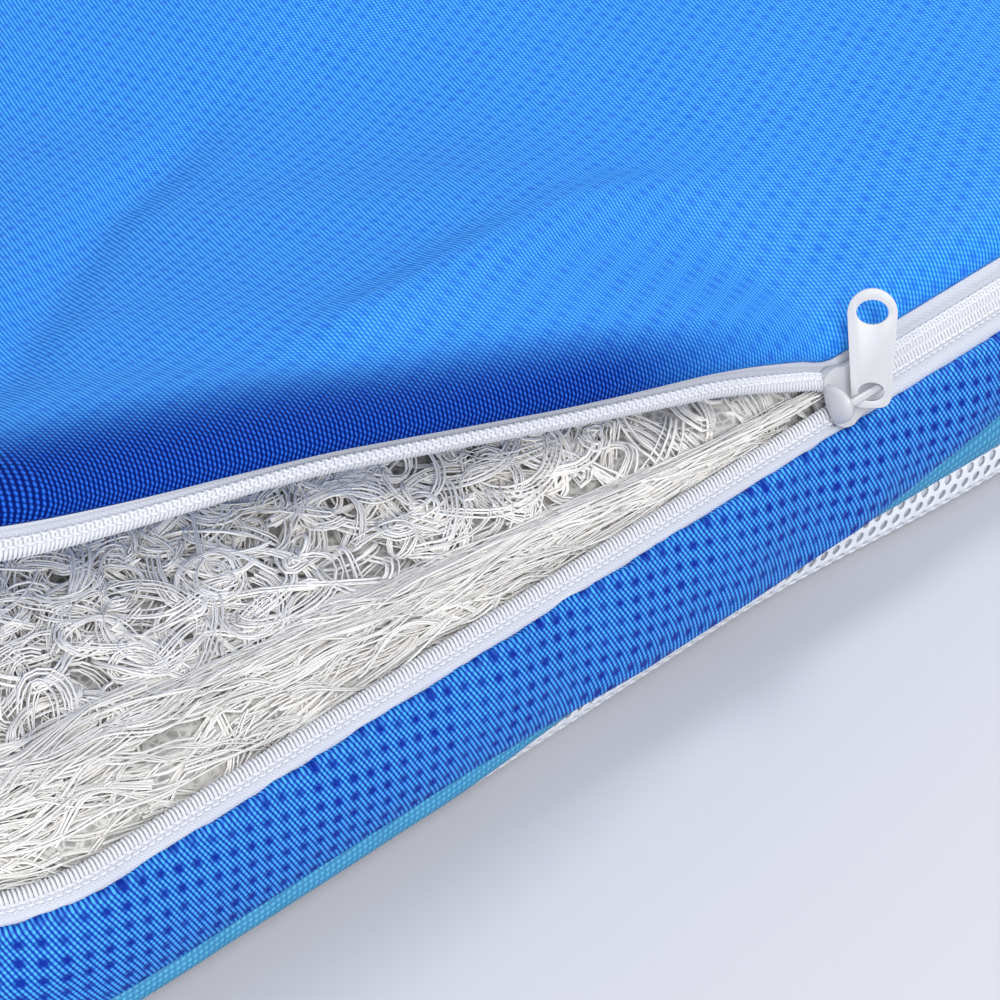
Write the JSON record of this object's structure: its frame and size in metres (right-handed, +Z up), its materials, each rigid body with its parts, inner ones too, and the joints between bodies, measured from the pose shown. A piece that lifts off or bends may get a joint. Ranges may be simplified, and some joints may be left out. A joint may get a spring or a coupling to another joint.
{
  "type": "cooling mat",
  "caption": "Zip-covered cooling mat with a looped air-fibre core, one corner of the cover lifted, and a working slider and pull.",
  "frame": {"origin": "the floor under the middle of the mat", "axes": "+X along the zipped long side towards the zip's closed end, +Y from the zipped side to the back, +Z up"},
  "size_m": [0.5, 0.3549, 0.1113],
  "materials": {
    "ice_silk": "bright blue cool-touch rib knit with a satin sheen and a lattice of small dimples",
    "turquoise_cloth": "plain turquoise knit binding",
    "white_mesh": "white 3-D spacer mesh with round holes",
    "air_fibre": "clear-white looped polymer filament, glossy",
    "zip_tape": "white woven zip tape",
    "white_nylon": "white nylon zip coil, satin",
    "white_enamel": "glossy white enamel on die-cast metal"
  },
  "bodies": {
    "mat": {"core_block": "air_fibre", "bottom_mesh_panel": "white_mesh", "edge_binding": "turquoise_cloth", "zip_side_band": "ice_silk", "plain_side_band": "ice_silk", "top_panel": "ice_silk", "closed_end_stop": "white_enamel", "open_end_stop_lower": "white_enamel", "lower_zip_tape": "zip_tape", "lower_zip_coil": "white_nylon", "lower_zip_stitching": "zip_tape", "upper_zip_tape_closed": "zip_tape", "upper_zip_coil_closed": "white_nylon", "upper_zip_stitching_closed": "zip_tape"},
    "cover_corner": {"corner_flap_panel": "ice_silk", "upper_zip_tape_open": "zip_tape", "upper_zip_coil_open": "white_nylon", "upper_zip_stitching_open": "zip_tape", "open_end_stop_upper": "white_enamel"},
    "slider": {"slider_body": "white_enamel", "slider_crown": "white_enamel"},
    "pull": {"pull_tab": "white_enamel"}
  },
  "joints": [
    {"name": "corner_lift", "type": "hinge", "parent": "mat", "child": "cover_corner", "pos_m": [-0.04, -0.172, 0.0595], "axis": [-0.7912, 0.6116, 0], "range_deg": [-32, 21], "deforming": ["upper_zip_tape_open", "upper_zip_coil_open", "upper_zip_stitching_open"]},
    {"name": "slider_travel", "type": "slide", "parent": "mat", "child": "slider", "axis": [1, 0, 0], "range_m": [-0.1601, 0.1051], "deforming": ["lower_zip_tape", "lower_zip_coil", "lower_zip_stitching", "upper_zip_tape_closed", "upper_zip_coil_closed", "upper_zip_stitching_closed"]},
    {"name": "pull_swing", "type": "hinge", "parent": "slider", "child": "pull", "pos_m": [-0.0408, -0.17655, 0.04728], "axis": [1, 0, 0], "range_deg": [-10, 175]}
  ],
  "couplings": [
    {"joint": "slider_travel", "follows": "corner_lift", "m_per_rad": 0.28648}
  ]
}
